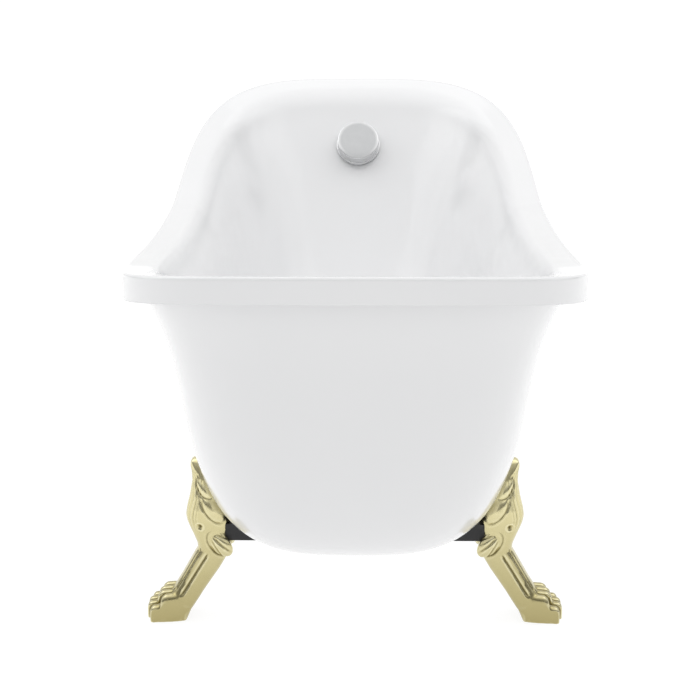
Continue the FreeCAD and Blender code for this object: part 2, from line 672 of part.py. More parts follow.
def bar_screw(place):
    """Pan screw up through the channel, the skirt and its nut."""
    shank = disc(SCREW_RADIUS, BAR_WALL + SKIRT_WALL + SCREW_NUT_HEIGHT + SCREW_END, place)
    return shank.fuse(disc(SCREW_HEAD_RADIUS, SCREW_HEAD_HEIGHT, place - UP * SCREW_HEAD_HEIGHT))


def bar_nut(place):
    base = place + UP * (BAR_WALL + SKIRT_WALL)
    thread = disc(SCREW_RADIUS, SCREW_NUT_HEIGHT, base)
    return hexagon(SCREW_NUT_FLATS / 2, SCREW_NUT_HEIGHT, base).cut(thread)


# Feet: one blank on the right side, trimmed to the skirt at each end of the tub

def oval(centre, first, second):
    """Closed oval wire whose two half-axes are given as vectors."""
    fill = (2 + math.cos(2 * math.pi / OVAL_POLES)) / 3
    poles = []
    for k in range(OVAL_POLES):
        turn = 2 * math.pi * k / OVAL_POLES
        poles.append(centre + (first * math.cos(turn) + second * math.sin(turn)) / fill)
    around = list(range(OVAL_POLES + 1))
    curve = Part.BSplineCurve()
    curve.buildFromPolesMultsKnots(poles, [1] * len(around), around, True, 3)
    return Part.Wire(curve.toShape())


def ball_ended(start, end, start_radius, end_radius):
    """Tapered rod with a ball at each end."""
    axis = end - start
    rod = Part.makeCone(start_radius, end_radius, axis.Length, start, axis)
    return rod.multiFuse([Part.makeSphere(start_radius, start), Part.makeSphere(end_radius, end)])


def foot_leaf():
    """Upper leaf that spreads on the flank of the tub."""
    sections = []
    edges = zip(LEAF_HEIGHT_SHARES, LEAF_INNER_SHARES, LEAF_OUTER_SHARES, LEAF_WIDTH_SHARES)
    for height, inner, outer, width in edges:
        centre = point(FOOT_FACE + LEAF_REACH * (inner + outer) / 2, 0, FOOT_HEIGHT * height)
        half_reach = LEAF_REACH * (outer - inner) / 2
        sections.append(oval(centre, ACROSS * half_reach, ALONG * (LEAF_WIDTH * width / 2)))
    return Part.makeLoft(sections, True)


def foot_shin():
    """Leaning shin from the knee down to the paw."""
    lean = math.radians(SHIN_LEAN)
    depth_axis = point(math.cos(lean), 0, math.sin(lean))
    sections = []
    steps = zip(SHIN_REACH_SHARES, SHIN_HEIGHT_SHARES, SHIN_DEPTH_SHARES, SHIN_WIDTH_SHARES)
    for reach, height, depth, width in steps:
        centre = point(FOOT_FACE + SHIN_REACH * reach, 0, SHIN_TOP * height)
        half_depth = depth_axis * (SHIN_DEPTH * depth / 2)
        sections.append(oval(centre, half_depth, ALONG * (SHIN_WIDTH * width / 2)))
    return Part.makeLoft(sections, True)


def foot_toes():
    """Fan of toes, each with a claw down to the sole."""
    pivot = point(FOOT_FACE + TOE_PIVOT, 0, TOE_HEIGHT)
    toes = []
    for fan in TOE_FAN:
        turn = math.radians(fan)
        out = point(math.cos(turn), math.sin(turn), 0)
        tip = pivot + out * TOE_REACH
        claw = pivot + out * CLAW_REACH - UP * (TOE_HEIGHT - CLAW_RADIUS)
        toes.append(ball_ended(pivot, tip, TOE_ROOT, TOE_RADIUS))
        toes.append(ball_ended(tip, claw, TOE_RADIUS, CLAW_RADIUS))
    return toes


def foot_blank():
    """Whole front right foot before it is trimmed, centred on y = 0."""
    scroll_base = point(FOOT_FACE + SCROLL_REACH, -SCROLL_WIDTH / 2, SCROLL_HEIGHT)
    pieces = [foot_leaf(), foot_shin(), Part.makeCylinder(SCROLL_RADIUS, SCROLL_WIDTH, scroll_base, ALONG)]
    boss_middle = FOOT_FACE + BOSS_DEPTH / 2
    pieces.append(block(BOSS_DEPTH, BOSS_WIDTH, BOSS_HEIGHT, boss_middle, 0, BOLT_AT - BOSS_HEIGHT / 2))
    pieces.append(Part.makeSphere(PAW_RADIUS, point(FOOT_FACE + PAW_REACH, 0, PAW_HEIGHT)))
    blank = pieces[0].multiFuse(pieces[1:] + foot_toes())
    below = block(LENGTH, LENGTH, LENGTH, 0, 0, PAD_THICKNESS - LENGTH)
    inside = Part.makeBox(LENGTH, LENGTH, UNDERSIDE + FOOT_FIT, point(FOOT_FACE - LENGTH, -HALF_LENGTH, 0))
    tapped = Part.makeCylinder(BOLT_RADIUS, BOLT_LENGTH, point(FOOT_FACE, 0, BOLT_AT), ACROSS)
    return blank.cut(below).cut(inside).cut(tapped)


def trimmed_foot(blank, leg_y, skirt_tool):
    """Foot at its place along the tub, cut back to clear the skirt."""
    foot = blank if leg_y < 0 else blank.mirror(point(0, 0, 0), ALONG)
    foot = foot.translated(ALONG * leg_y).cut(skirt_tool)
    return max(foot.Solids, key=lambda solid: solid.Volume)


def foot_pad(leg_y):
    return disc(PAD_RADIUS, PAD_THICKNESS, point(FOOT_FACE + PAD_REACH, leg_y, 0))


def other_side(shape):
    return shape.mirror(point(0, 0, 0), ACROSS)


def foot_bolt(leg_y):
    """Hex bolt from inside the channel through its end plate into the foot."""
    seat = FOOT_FACE - BAR_WALL - WASHER_THICKNESS
    shank = Part.makeCylinder(BOLT_RADIUS, BOLT_LENGTH, point(seat, leg_y, BOLT_AT), ACROSS)
    head = hexagon(BOLT_HEAD_FLATS / 2, BOLT_HEAD_HEIGHT, point(0, 0, 0))
    head.rotate(point(0, 0, 0), ALONG, -90)
    head.translate(point(seat, leg_y, BOLT_AT))
    return shank.fuse(head)


def foot_washer(leg_y):
    base = point(FOOT_FACE - BAR_WALL - WASHER_THICKNESS, leg_y, BOLT_AT)
    hole = Part.makeCylinder(BOLT_RADIUS, WASHER_THICKNESS, base, ACROSS)
    return Part.makeCylinder(WASHER_RADIUS, WASHER_THICKNESS, base, ACROSS).cut(hole)


# Assembly

def shells_and_overflow():
    rings = basin_rings()
    frame = back_wall_frame(ring_surface(rings))
    blank = shell_solid(rings, offset_rings(rings, -BASIN_WALL))
    hole = placed(disc(OVERFLOW_HOLE, 2 * CUT_OVERRUN, UP * -CUT_OVERRUN), frame)
    hole_base = drain_point(BASIN_FLOOR - CUT_OVERRUN)
    throat_hole = disc(THROAT_RADIUS + DRAIN_HOLE_GAP, 2 * CUT_OVERRUN, hole_base)
    skirt = skirt_shell().cut(stack_hole()).cut(bent_rod(pipe_corners(frame), PIPE_RADIUS + PIPE_HOLE_GAP))
    for leg_y in (FRONT_LEG, REAR_LEG):
        for place in bar_screw_places(leg_y):
            skirt = skirt.cut(disc(SCREW_RADIUS, 2 * CUT_OVERRUN, place - UP * CUT_OVERRUN))
    return {
        "inner_basin": blank.cut(hole).cut(throat_hole),
        "outer_skirt": skirt,
        "overflow_cap": overflow_cap(frame),
        "overflow_ring": overflow_ring(frame, blank),
        "overflow_screw": overflow_screw(frame),
        "overflow_gasket": overflow_gasket(frame, blank),
        "overflow_elbow": overflow_elbow(frame),
        "overflow_pipe": overflow_pipe(frame),
    }


def waste_and_plug():
    return {
        "drain_flange": drain_flange(),
        "drain_washer": drain_washer(),
        "drain_gasket": drain_gasket(),
        "drain_body": drain_body(),
        "drain_tail": drain_tail(),
        "tail_nut": tail_nut(),
        "drain_plug": drain_plug(),
        "plug_seal": plug_seal(),
    }


def feet_and_bars():
    nodes = {"base_board": base_board()}
    blank = foot_blank()
    tool = skirt_shell(FOOT_FIT)
    bolts = []
    washers = []
    screws = []
    nuts = []
    for end, leg_y in (("front", FRONT_LEG), ("rear", REAR_LEG)):
        foot = trimmed_foot(blank, leg_y, tool)
        nodes[end + "_right_foot"] = foot
        nodes[end + "_left_foot"] = other_side(foot)
        nodes[end + "_right_pad"] = foot_pad(leg_y)
        nodes[end + "_left_pad"] = other_side(foot_pad(leg_y))
        nodes[end + "_crossbar"] = crossbar(leg_y)
        bolts += [foot_bolt(leg_y), other_side(foot_bolt(leg_y))]
        washers += [foot_washer(leg_y), other_side(foot_washer(leg_y))]
        screws += [bar_screw(place) for place in bar_screw_places(leg_y)]
        nuts += [bar_nut(place) for place in bar_screw_places(leg_y)]
    nodes["foot_bolts"] = Part.makeCompound(bolts)
    nodes["foot_washers"] = Part.makeCompound(washers)
    nodes["bar_screws"] = Part.makeCompound(screws)
    nodes["bar_nuts"] = Part.makeCompound(nuts)
    return nodes


os.makedirs("parts", exist_ok=True)
for node, shape in {**shells_and_overflow(), **waste_and_plug(), **feet_and_bars()}.items():
    shape.exportStep("parts/" + node + ".step")
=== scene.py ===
import math

import bmesh
import bpy
from mathutils import Matrix, Vector
from mathutils.bvhtree import BVHTree


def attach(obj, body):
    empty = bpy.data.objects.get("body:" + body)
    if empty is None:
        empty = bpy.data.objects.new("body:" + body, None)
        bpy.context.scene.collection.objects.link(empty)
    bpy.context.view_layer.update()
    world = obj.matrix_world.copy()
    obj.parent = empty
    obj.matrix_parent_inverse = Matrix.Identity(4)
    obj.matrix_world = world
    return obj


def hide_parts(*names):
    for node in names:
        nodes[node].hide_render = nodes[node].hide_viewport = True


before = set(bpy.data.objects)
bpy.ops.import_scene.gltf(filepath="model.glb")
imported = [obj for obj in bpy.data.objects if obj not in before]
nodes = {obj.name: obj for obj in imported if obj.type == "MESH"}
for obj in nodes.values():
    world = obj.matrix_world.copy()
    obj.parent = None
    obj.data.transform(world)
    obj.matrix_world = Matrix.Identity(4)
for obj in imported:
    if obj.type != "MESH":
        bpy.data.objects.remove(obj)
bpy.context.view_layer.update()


# Materials: plain sums on node sockets

class Value:
    """One output of a material's node tree, usable in plain sums."""

    def __init__(self, finish, socket):
        self.finish = finish
        self.socket = socket

    def sum_of(self, operation, first, second):
        return self.finish.node("ShaderNodeMath", 0, {"operation": operation}, {0: first, 1: second})

    def __add__(self, other):
        return self.sum_of("ADD", self, other)

    def __mul__(self, other):
        return self.sum_of("MULTIPLY", self, other)


class Finish:
    """A material being made: its node tree and its one shader."""

    def __init__(self, name, **constants):
        self.material = bpy.data.materials.new(name)
        self.material.use_nodes = True
        self.tree = self.material.node_tree
        self.tree.nodes.clear()
        self.shader = self.tree.nodes.new("ShaderNodeBsdfPrincipled")
        surface = self.tree.nodes.new("ShaderNodeOutputMaterial")
        self.tree.links.new(self.shader.outputs["BSDF"], surface.inputs["Surface"])
        for socket, value in constants.items():
            self.shader.inputs[socket.replace("_", " ")].default_value = value

    def feed(self, socket, value):
        if isinstance(value, Value):
            self.tree.links.new(value.socket, socket)
        else:
            socket.default_value = value

    def node(self, kind, result, settings=None, sockets=None):
        made = self.tree.nodes.new(kind)
        for name, value in (settings or {}).items():
            setattr(made, name, value)
        for name, value in (sockets or {}).items():
            self.feed(made.inputs[name], value)
        return Value(self, made.outputs[result])

    def place(self, stretch=(1, 1, 1)):
        spot = self.node("ShaderNodeTexCoord", "Object")
        return self.node("ShaderNodeMapping", 0, None, {"Vector": spot, "Scale": stretch})

    def noise(self, scale, detail=2.0, stretch=(1, 1, 1)):
        sockets = {"Vector": self.place(stretch), "Scale": scale, "Detail": detail}
        return self.node("ShaderNodeTexNoise", 0, None, sockets)

    def range(self, value, low, high, start=0.0, end=1.0):
        sockets = {"Value": value, "From Min": low, "From Max": high, "To Min": start, "To Max": end}
        return self.node("ShaderNodeMapRange", 0, None, sockets)

    def mix(self, factor, first, second):
        return self.node("ShaderNodeMix", 2, {"data_type": "RGBA"}, {0: factor, 6: first, 7: second})

    def attribute(self, name):
        return self.node("ShaderNodeAttribute", "Fac", {"attribute_name": name})

    def set(self, socket, value):
        self.feed(self.shader.inputs[socket], value)

    def bump(self, height, strength, distance):
        sockets = {"Height": height, "Strength": strength, "Distance": distance}
        self.set("Normal", self.node("ShaderNodeBump", 0, None, sockets))


def colour(red, green, blue):
    return (red, green, blue, 1.0)


def acrylic_finish():
    """White gloss sheet, faintly wavy from moulding, with fine rub marks in the gloss."""
    finish = Finish("white_acrylic", Coat_Roughness=0.03, Coat_IOR=1.45)
    cloud = finish.noise(3.0, 2.0)
    finish.set("Base Color", finish.mix(cloud, colour(0.81, 0.815, 0.825), colour(0.86, 0.86, 0.865)))
    rub = finish.noise(26.0, 5.0, (1.0, 0.35, 1.0))
    finish.set("Roughness", finish.range(rub, 0.3, 0.75, 0.16, 0.24))
    finish.set("Coat Weight", finish.range(cloud, 0.3, 0.7, 0.55, 0.75))
    peel = finish.noise(190.0, 1.0) * 0.2 + finish.noise(6.0, 1.0)
    finish.bump(peel, 0.12, 0.002)
    return finish.material


def champagne_finish():
    """Pale gold plate: satin on the swells, olive brown painted shade in the grooves, darker towards the
    floor as painted shade, bright on the worn edges.
    """
    finish = Finish("champagne_metal")
    groove = finish.attribute("groove")
    edge = finish.attribute("edge")
    cloud = finish.noise(22.0, 4.0)
    plate = finish.mix(cloud, colour(0.66, 0.595, 0.33), colour(0.76, 0.695, 0.41))
    # Painted shade: the plate darkens to olive brown over the lowest 0.2 m of the feet, towards the floor.
    height = finish.node("ShaderNodeSeparateXYZ", "Z", None, {"Vector": finish.place()})
    plate = finish.mix(finish.range(height, 0.0, 0.2, 0.95, 0.0), plate, colour(0.40, 0.345, 0.16))
    plate = finish.mix(finish.range(edge, 0.1, 0.9), plate, colour(0.86, 0.81, 0.55))
    # Painted shade: dark olive brown, less metallic and rougher down in the grooves.
    plate = finish.mix(finish.range(groove, 0.08, 0.8), plate, colour(0.17, 0.14, 0.05))
    finish.set("Base Color", plate)
    finish.set("Metallic", finish.range(groove, 0.0, 1.0, 1.0, 0.7))
    grain = finish.noise(240.0, 3.0, (1.0, 1.0, 0.25))
    finish.set("Roughness", finish.range(grain, 0.3, 0.7, 0.17, 0.25) + groove * 0.25)
    finish.bump(grain + cloud * 0.6, 0.06, 0.0006)
    return finish.material


def chrome_finish(name, satin_and_shade=None):
    """Bright plate with a breath of water marks, greyer and rougher where it is brushed satin; the greyer
    colour on the overflow cover's face is painted shade.
    """
    finish = Finish(name, Metallic=1.0)
    marks = finish.noise(60.0, 5.0)
    if satin_and_shade is None:
        satin_and_shade = finish.attribute("satin_and_shade")
    polished = finish.mix(marks, colour(0.68, 0.685, 0.69), colour(0.78, 0.785, 0.79))
    brushed_and_shaded = finish.mix(marks, colour(0.43, 0.435, 0.44), colour(0.5, 0.505, 0.51))
    # Greyer colour where satin; on the overflow cover's face this is painted shade.
    finish.set("Base Color", finish.mix(satin_and_shade, polished, brushed_and_shaded))
    finish.set("Roughness", finish.range(marks, 0.35, 0.75, 0.06, 0.14) + satin_and_shade * 0.12)
    finish.bump(finish.noise(400.0, 2.0), 0.04, 0.0004)
    return finish.material


def black_steel_finish():
    """Black powder coat with its fine pebbled skin and grey rub at random."""
    finish = Finish("black_steel")
    rub = finish.noise(30.0, 5.0)
    worn = finish.range(rub, 0.58, 0.8)
    finish.set("Base Color", finish.mix(worn, colour(0.012, 0.012, 0.013), colour(0.05, 0.05, 0.052)))
    pebble = finish.noise(520.0, 2.0)
    finish.set("Roughness", finish.range(pebble, 0.3, 0.7, 0.34, 0.52))
    finish.bump(pebble, 0.3, 0.0004)
    return finish.material


def zinc_finish():
    """Zinc plate with its pale crystal patches."""
    finish = Finish("zinc_steel", Metallic=1.0)
    patch = finish.node("ShaderNodeTexVoronoi", 0, None, {"Vector": finish.place(), "Scale": 210.0})
    finish.set("Base Color", finish.mix(patch, colour(0.62, 0.63, 0.65), colour(0.46, 0.47, 0.5)))
    finish.set("Roughness", finish.range(patch, 0.0, 0.9, 0.26, 0.44))
    finish.bump(finish.noise(300.0, 2.0), 0.1, 0.0004)
    return finish.material


def rubber_finish():
    """Matt black rubber with a dusty bloom."""
    finish = Finish("rubber")
    dust = finish.noise(45.0, 6.0)
    finish.set("Base Color", finish.mix(dust, colour(0.018, 0.018, 0.018), colour(0.05, 0.05, 0.048)))
    finish.set("Roughness", finish.range(dust, 0.3, 0.7, 0.62, 0.82))
    finish.bump(finish.noise(600.0, 2.0), 0.25, 0.0004)
    return finish.material


def pipe_finish():
    """Off-white moulded pipe plastic."""
    finish = Finish("pipe_plastic")
    cloud = finish.noise(14.0, 3.0)
    finish.set("Base Color", finish.mix(cloud, colour(0.72, 0.72, 0.69), colour(0.8, 0.8, 0.78)))
    finish.set("Roughness", finish.range(finish.noise(90.0, 3.0), 0.3, 0.7, 0.3, 0.44))
    finish.bump(finish.noise(160.0, 2.0), 0.08, 0.0006)
    return finish.material


def plywood_finish():
    """Raw plywood: long grain on the face and thin dark glue lines round the edge."""
    finish = Finish("plywood")
    grain = finish.noise(9.0, 8.0, (14.0, 1.0, 1.0))
    wood = finish.mix(grain, colour(0.36, 0.23, 0.12), colour(0.66, 0.5, 0.31))
    settings = {"wave_type": "BANDS", "bands_direction": "Z"}
    plies = finish.node("ShaderNodeTexWave", 1, settings, {"Vector": finish.place(), "Scale": 80.0})
    glue = finish.range(plies, 0.82, 1.0, 0.0, 0.6)
    finish.set("Base Color", finish.mix(glue, wood, colour(0.16, 0.1, 0.05)))
    finish.set("Roughness", finish.range(grain, 0.3, 0.7, 0.55, 0.75))
    finish.bump(grain, 0.3, 0.0008)
    return finish.material


def floor_finish():
    """White floor that glows a little, so that it stays white under the tub."""
    finish = Finish("studio_floor", Emission_Color=colour(1, 1, 1), Emission_Strength=0.88)
    cloud = finish.noise(1.2, 2.0)
    finish.set("Base Color", finish.mix(cloud, colour(0.16, 0.16, 0.16), colour(0.18, 0.18, 0.18)))
    finish.set("Roughness", finish.range(cloud, 0.3, 0.7, 0.8, 0.9))
    return finish.material


def backdrop_finish():
    """Glowing white cloth, a little uneven."""
    finish = Finish("backdrop", Emission_Strength=0.82)
    cloud = finish.noise(0.6, 1.0)
    finish.set("Base Color", finish.mix(cloud, colour(0.05, 0.05, 0.05), colour(0.06, 0.06, 0.06)))
    finish.set("Emission Color", finish.mix(cloud, colour(0.97, 0.97, 0.97), colour(1, 1, 1)))
    return finish.material


FINISHES = {
    "white_acrylic": acrylic_finish(),
    "champagne_metal": champagne_finish(),
    "chrome": chrome_finish("chrome"),
    "satin_chrome": chrome_finish("satin_chrome", 1.0),
    "black_steel": black_steel_finish(),
    "zinc_steel": zinc_finish(),
    "rubber": rubber_finish(),
    "pipe_plastic": pipe_finish(),
    "plywood": plywood_finish(),
}
NODE_FINISHES = {
    "chrome": ("overflow_ring", "overflow_screw"),
    "satin_chrome": ("drain_flange", "drain_plug"),
    "black_steel": ("front_crossbar", "rear_crossbar"),
    "zinc_steel": ("foot_bolts", "foot_washers", "bar_screws", "bar_nuts"),
    "rubber": ("front_left_pad", "front_right_pad", "rear_left_pad", "rear_right_pad", "overflow_gasket",
               "drain_washer", "drain_gasket", "plug_seal"),
    "pipe_plastic": ("overflow_elbow", "overflow_pipe", "drain_body", "drain_tail", "tail_nut"),
    "plywood": ("base_board",),
}
for slot, names in NODE_FINISHES.items():
    for name in names:
        nodes[name].data.materials.clear()
        nodes[name].data.materials.append(FINISHES[slot])


# Object and mesh helpers

def linked(name, data):
    """New object in the scene for a mesh, a light or a camera."""
    made = bpy.data.objects.new(name, data)
    bpy.context.scene.collection.objects.link(made)
    return made


def stack_rows(bm, rows, cap_first, cap_last):
    """Skin through closed rows of places: a circle for the first row, one extrusion for each later row."""
    row = bmesh.ops.create_circle(bm, cap_ends=cap_first, segments=len(rows[0]), radius=1.0)["verts"]
    edges = [edge for edge in bm.edges if edge.verts[0] in row and edge.verts[1] in row]
    for vert, spot in zip(row, rows[0]):
        vert.co = spot
    for places in rows[1:]:
        made = bmesh.ops.extrude_edge_only(bm, edges=edges)["geom"]
        fresh = {item for item in made if isinstance(item, bmesh.types.BMVert)}
        row = [next(e.other_vert(v) for e in v.link_edges if e.other_vert(v) in fresh) for v in row]
        edges = [item for item in made
                 if isinstance(item, bmesh.types.BMEdge) and fresh.issuperset(item.verts)]
        for vert, spot in zip(row, places):
            vert.co = spot
    if cap_last:
        bmesh.ops.contextual_create(bm, geom=edges)


def new_piece(name, bm, slot, body, *replaced):
    """Finished object of a mesh, riding on its body in place of the named nodes."""
    mesh = bpy.data.meshes.new(name)
    for face in bm.faces:
        face.smooth = True
    bm.to_mesh(mesh)
    bm.free()
    mesh.materials.append(FINISHES[slot])
    piece = linked(name, mesh)
    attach(piece, body)
    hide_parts(*replaced)
    return piece


def fade(value, low, high):
    """Smooth step from 0 at the low value to 1 at the high value."""
    share = min(1.0, max(0.0, (value - low) / (high - low)))
    return share * share * (3 - 2 * share)


def evaluated_tree(piece):
    """Search tree of a piece's finished surface."""
    bpy.context.view_layer.update()
    return BVHTree.FromObject(piece, bpy.context.evaluated_depsgraph_get())


# Tub shells: rings on the same plan family as the solid part, in metres

HALF_LENGTH = 0.725
HALF_WIDTH = 0.325
RING_POINTS = 96
LOW_RIM = 0.526
FOOT_END_RIM = 0.612
BACK_RIM = 0.668
BASIN_FLOOR = 0.189
UNDERSIDE = 0.158
WALL_BASIN = 0.006
WALL_SKIRT = 0.005
DRAIN = Vector((0, 0.203, BASIN_FLOOR))
DRAIN_RADIUS = 0.0235
WAIST_SHARE = 0.05
LOW_RIM_SHARE = 0.17
RIM_POWERS = (5.5, 3.8)
FLOOR_POWERS = (3.6, 2.4)
PLAN_STEPS = 1000
APRON_DROP = 0.037
RIM_ROUND = 0.009
RIM_FLAT = 0.033
RIM_SLOPE = 0.002
SKIRT_INSET = 0.028
UNDERSIDE_MIDDLE = Vector((0, -0.04, UNDERSIDE))


def rim_height(y):
    """Height of the rim's top along the tub: lowest a little past the middle, up to both ends."""
    share = y / HALF_LENGTH
    near = max(0, (LOW_RIM_SHARE - share) / (1 + LOW_RIM_SHARE))
    back = max(0, (share - LOW_RIM_SHARE) / (1 - LOW_RIM_SHARE))
    return LOW_RIM + (FOOT_END_RIM - LOW_RIM) * near ** 2.27 + (BACK_RIM - LOW_RIM) * back ** 1.45


def half_plan(half_width, near, far, near_power, far_power):
    """One half of a waisted oval, from the near end round to the far end."""
    points = []
    for step in range(PLAN_STEPS + 1):
        turn = math.pi * (step / PLAN_STEPS - 0.5)
        power, reach = (near_power, near) if turn < 0 else (far_power, far)
        share = math.copysign(abs(math.sin(turn)) ** (2 / power), turn)
        waist = 1 - WAIST_SHARE * (1 - share * share)
        points.append((max(0, math.cos(turn)) ** (2 / power) * waist, share * reach))
    widest = max(x for x, _ in points)
    return [(x * half_width / widest, y) for x, y in points]


def even_steps(points, count):
    """Points at even distances along a fine line of points."""
    travel = [0]
    for (x0, y0), (x1, y1) in zip(points, points[1:]):
        travel.append(travel[-1] + math.hypot(x1 - x0, y1 - y0))
    result = []
    index = 1
    for step in range(count + 1):
        goal = travel[-1] * step / count
        while index < len(points) - 1 and travel[index] < goal:
            index += 1
        part = (goal - travel[index - 1]) / (travel[index] - travel[index - 1])
        (x0, y0), (x1, y1) = points[index - 1], points[index]
        result.append((x0 + (x1 - x0) * part, y0 + (y1 - y0) * part))
    return result


def ring(insets, depth, height):
    """Places of one ring. depth blends the plan from the rim (0) to the floor (1)."""
    side, near, far = insets
    powers = [rim + (floor - rim) * depth for rim, floor in zip(RIM_POWERS, FLOOR_POWERS)]
    fine = half_plan(HALF_WIDTH - side, HALF_LENGTH - near, HALF_LENGTH - far, *powers)
    right = even_steps(fine, RING_POINTS // 2)
    left = [(-x, y) for x, y in reversed(right[1:-1])]
    return [Vector((x, y, height(y))) for x, y in right + left]


def rim_ring(inset, drop, back=1.0):
    """Ring that follows the rim, inset from its edge and dropped under its top."""
    return ring((inset, inset, inset * back), 0, lambda y: rim_height(y) - drop)


def wall_ring(insets, share, base):
    """Ring at a share of the height between a level base and the rim."""
    return ring(insets, 1 - share, lambda y: base + share * (rim_height(y) - base))


def basin_rows():
    """From the lip of the apron over the rim, down the wall and across the floor to the waste hole."""
    rows = [rim_ring(0, APRON_DROP * share) for share in (1, 0.8, 0.5)]
    rows += [rim_ring(0, RIM_ROUND), rim_ring(0, 0), rim_ring(RIM_ROUND, 0)]
    rows += [rim_ring(RIM_ROUND + RIM_FLAT * share, RIM_SLOPE * share) for share in (1 / 3, 2 / 3, 1)]
    for width, drop in ((0.5, 0.22), (0.8, 0.55), (1, 1)):
        inset = RIM_ROUND + RIM_FLAT + 0.022 * width
        rows.append(rim_ring(inset, RIM_SLOPE + 0.032 * drop, 1 + 0.35 * width))
    heights = (0.84, 0.72, 0.57, 0.42, 0.28, 0.14, 0.04, 0.0, 0.0)
    sides = (0.33, 0.394, 0.45, 0.496, 0.55, 0.65, 0.8, 0.93, 1.0)
    nears = (0.29, 0.37, 0.44, 0.5, 0.57, 0.67, 0.8, 0.93, 1.0)
    fars = (0.27, 0.36, 0.453, 0.54, 0.63, 0.735, 0.853, 0.945, 1.0)
    for height, side, near, far in zip(heights, sides, nears, fars):
        rows.append(wall_ring((0.236 * side, 0.300 * near, 0.455 * far), height, BASIN_FLOOR))
    floor_edge = rows[-1]
    for share in (0.5, 0.85):
        rows.append([spot.lerp(DRAIN, share) for spot in floor_edge])
    rows.append([DRAIN + (spot - DRAIN).normalized() * DRAIN_RADIUS for spot in floor_edge])
    return rows


def skirt_rows():
    """From its top edge under the rim, down the flared side and round the belly to the flat underside."""
    rows = [rim_ring(SKIRT_INSET, drop) for drop in (0.0085, 0.0325)]
    heights = (0.88, 0.76, 0.61, 0.46, 0.34, 0.21, 0.10, 0.03, 0.0, 0.0)
    sides = (0.035, 0.053, 0.0635, 0.069, 0.076, 0.0885, 0.1045, 0.129, 0.164, 0.204)
    nears = (0.035, 0.057, 0.072, 0.084, 0.094, 0.109, 0.127, 0.150, 0.180, 0.210)
    fars = (0.042, 0.064, 0.086, 0.108, 0.130, 0.162, 0.204, 0.240, 0.270, 0.285)
    for height, side, near, far in zip(heights, sides, nears, fars):
        rows.append(wall_ring((side, near, far), height, UNDERSIDE))
    rows.append([spot.lerp(UNDERSIDE_MIDDLE, 0.5) for spot in rows[-1]])
    return rows


def shell_piece(name, rows, cap_last, wall, upward, replaced):
    """Smooth acrylic shell: skin, subdivision, then the sheet's thickness behind the skin."""
    bm = bmesh.new()
    stack_rows(bm, rows, False, cap_last)
    bmesh.ops.recalc_face_normals(bm, faces=bm.faces)
    floor_face = min(bm.faces, key=lambda face: face.calc_center_median().z)
    floor_face.normal_update()
    if (floor_face.normal.z > 0) != upward:
        bmesh.ops.reverse_faces(bm, faces=bm.faces)
    piece = new_piece(name, bm, "white_acrylic", "tub", replaced)
    smooth = piece.modifiers.new("skin", "SUBSURF")
    smooth.levels = 2
    smooth.render_levels = 2
    sheet = piece.modifiers.new("sheet", "SOLIDIFY")
    sheet.thickness = wall
    sheet.offset = -1
    return piece


basin = shell_piece("basin_shell", basin_rows(), False, WALL_BASIN, True, "inner_basin")
skirt = shell_piece("skirt_shell", skirt_rows(), True, WALL_SKIRT, False, "outer_skirt")


# Overflow cover: turned on its own axis, then set on the backrest

MM = 0.001
OVERFLOW_HEIGHT = 0.548
SATIN_SHADE_EDGE = (28.5, 29.6)
TURNED_STEPS = 128


def arc(centre_r, centre_z, radius, start, end, steps=10):
    """Points of a round stretch in a half section, between two angles in degrees."""
    turns = [math.radians(start + (end - start) * k / steps) for k in range(steps + 1)]
    return [(centre_r + radius * math.cos(turn), centre_z + radius * math.sin(turn)) for turn in turns]


def overflow_profile():
    """Half section in millimetres: hollow back, base ring, plain side band and slightly crowned face."""
    line = [(0, 25), (36, 25), (39, 22), (39, 3)]
    line += arc(42, 4, 1, -90, 0, 4) + arc(42.2, 7.4, 0.8, 0, 90, 4)
    line += [(41.7, 8.4), (41.6, 9.2), (41.2, 20), (40.9, 26.4)]
    line += arc(38.7, 26.8, 2.2, 0, 78, 8)
    line += [(34, 29.6), (28, 30.2), (21, 30.7), (13, 31.1), (6, 31.3), (0, 31.35)]
    return line


def overflow_cover():
    """Turned cover with a satin face painted greyer as shade, set square on the backrest's surface."""
    bm = bmesh.new()
    verts = [bm.verts.new((r * MM, 0, z * MM)) for r, z in overflow_profile()]
    edges = [bm.edges.new(pair) for pair in zip(verts, verts[1:])]
    bmesh.ops.spin(bm, geom=verts + edges, cent=(0, 0, 0), axis=(0, 0, 1), angle=math.tau,
                   steps=TURNED_STEPS, use_merge=True)
    bmesh.ops.remove_doubles(bm, verts=bm.verts, dist=1e-6)
    bmesh.ops.recalc_face_normals(bm, faces=bm.faces)
    # Share of the cover's face that gets the satin finish and the painted shade.
    satin_and_shade = bm.verts.layers.float.new("satin_and_shade")
    for vert in bm.verts:
        vert[satin_and_shade] = fade(vert.co.z / MM, *SATIN_SHADE_EDGE)
    start = Vector((0, 0, OVERFLOW_HEIGHT))
    spot, normal, _, _ = evaluated_tree(basin).ray_cast(start, Vector((0, 1, 0)))
    normal.x = 0
    turn = normal.to_track_quat("Z", "Y").to_matrix().to_4x4()
    bmesh.ops.transform(bm, matrix=Matrix.Translation(spot) @ turn, verts=bm.verts)
    return new_piece("overflow_cover", bm, "chrome", "tub", "overflow_cap")


overflow_cover()


# Claw feet: sculpted in millimetres on the front right foot, x out from the crossbar's end, y along the tub

